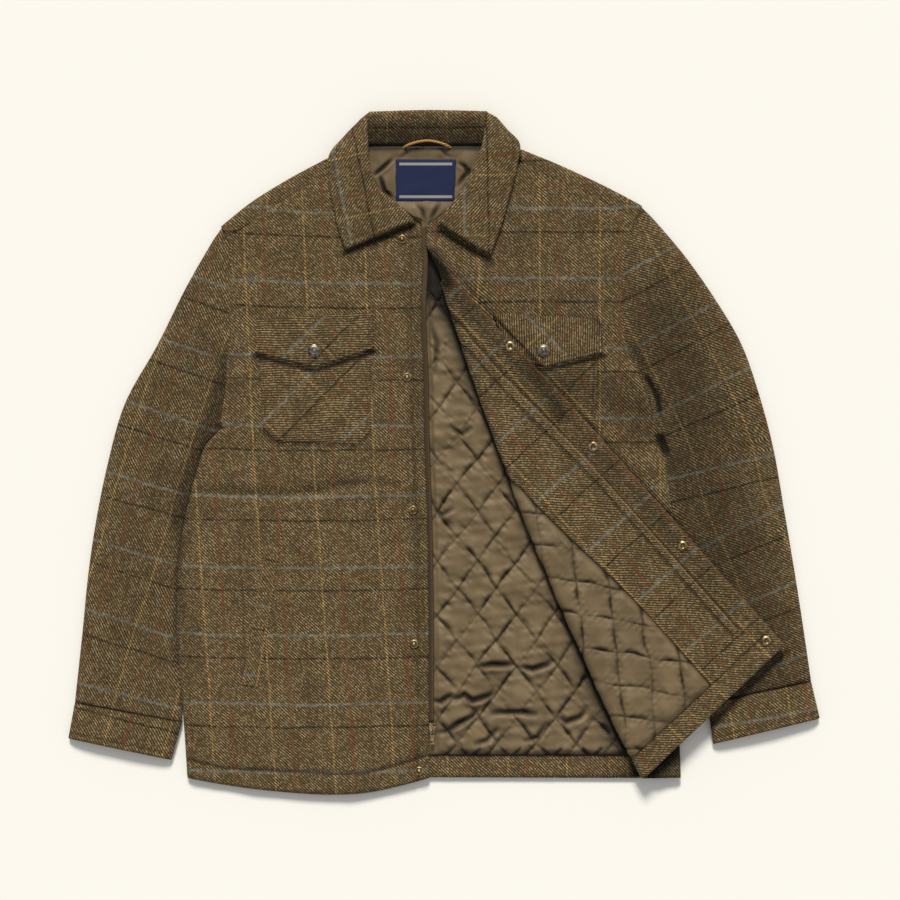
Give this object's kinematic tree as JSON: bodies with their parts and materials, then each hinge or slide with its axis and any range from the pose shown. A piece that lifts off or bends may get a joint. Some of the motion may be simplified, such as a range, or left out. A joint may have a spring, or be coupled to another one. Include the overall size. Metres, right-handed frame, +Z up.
{
  "type": "wool jacket",
  "caption": "Tweed shirt-jacket laid flat on its back, collar turned down, left front folded open over a diamond-quilted lining, with zip, snap placket, chest pockets and cuffs.",
  "frame": {"origin": "middle of the outline, on the surface that the jacket lies on", "axes": "+X to the wearer's left (right in the picture), +Y from the hem to the collar, +Z up from the surface towards the viewer"},
  "size_m": [0.9174, 0.8348, 0.0288],
  "materials": {
    "tweed": "olive-brown wool twill with a windowpane check",
    "lining": "taupe satin, quilted in diamonds over padding",
    "zip_tape": "dark woven tape with a pale coil",
    "brass": "antique brass",
    "pewter": "antique pewter plate",
    "label": "woven navy label, left bare",
    "cord": "twisted gold cord"
  },
  "bodies": {
    "jacket": {"back": "tweed", "right_front": "tweed", "left_front": "tweed", "left_facing": "tweed", "left_hem": "tweed", "back_hem": "tweed", "collar_stand": "tweed", "collar_fall": "tweed", "right_collar_leaf": "tweed", "left_collar_leaf": "tweed", "right_top_sleeve": "tweed", "left_top_sleeve": "tweed", "right_under_sleeve": "tweed", "left_under_sleeve": "tweed", "right_cuff_top": "tweed", "left_cuff_top": "tweed", "right_cuff_under": "tweed", "left_cuff_under": "tweed", "right_yoke": "tweed", "left_yoke": "tweed", "right_pocket": "tweed", "left_pocket": "tweed", "right_pocket_flap": "tweed", "left_pocket_flap": "tweed", "right_welt": "tweed", "back_lining": "lining", "left_lining": "lining", "neck_lining": "lining", "zip_right": "zip_tape", "zip_left": "zip_tape", "snap_stud_1": "brass", "snap_stud_2": "brass", "snap_stud_3": "brass", "snap_stud_4": "brass", "snap_stud_5": "brass", "snap_socket_1": "brass", "snap_socket_2": "brass", "snap_socket_3": "brass", "snap_socket_4": "brass", "zip_slider": "brass", "right_pocket_snap": "pewter", "left_pocket_snap": "pewter", "label": "label", "hanger_loop": "cord"},
    "zip_pull": {"zip_pull": "brass"}
  },
  "joints": [
    {"name": "zip_pull_swing", "type": "hinge", "parent": "jacket", "child": "zip_pull", "pos_m": [-0.0143, -0.3387, 0.0138], "axis": [-1, 0, 0], "range_deg": [0, 170]}
  ]
}
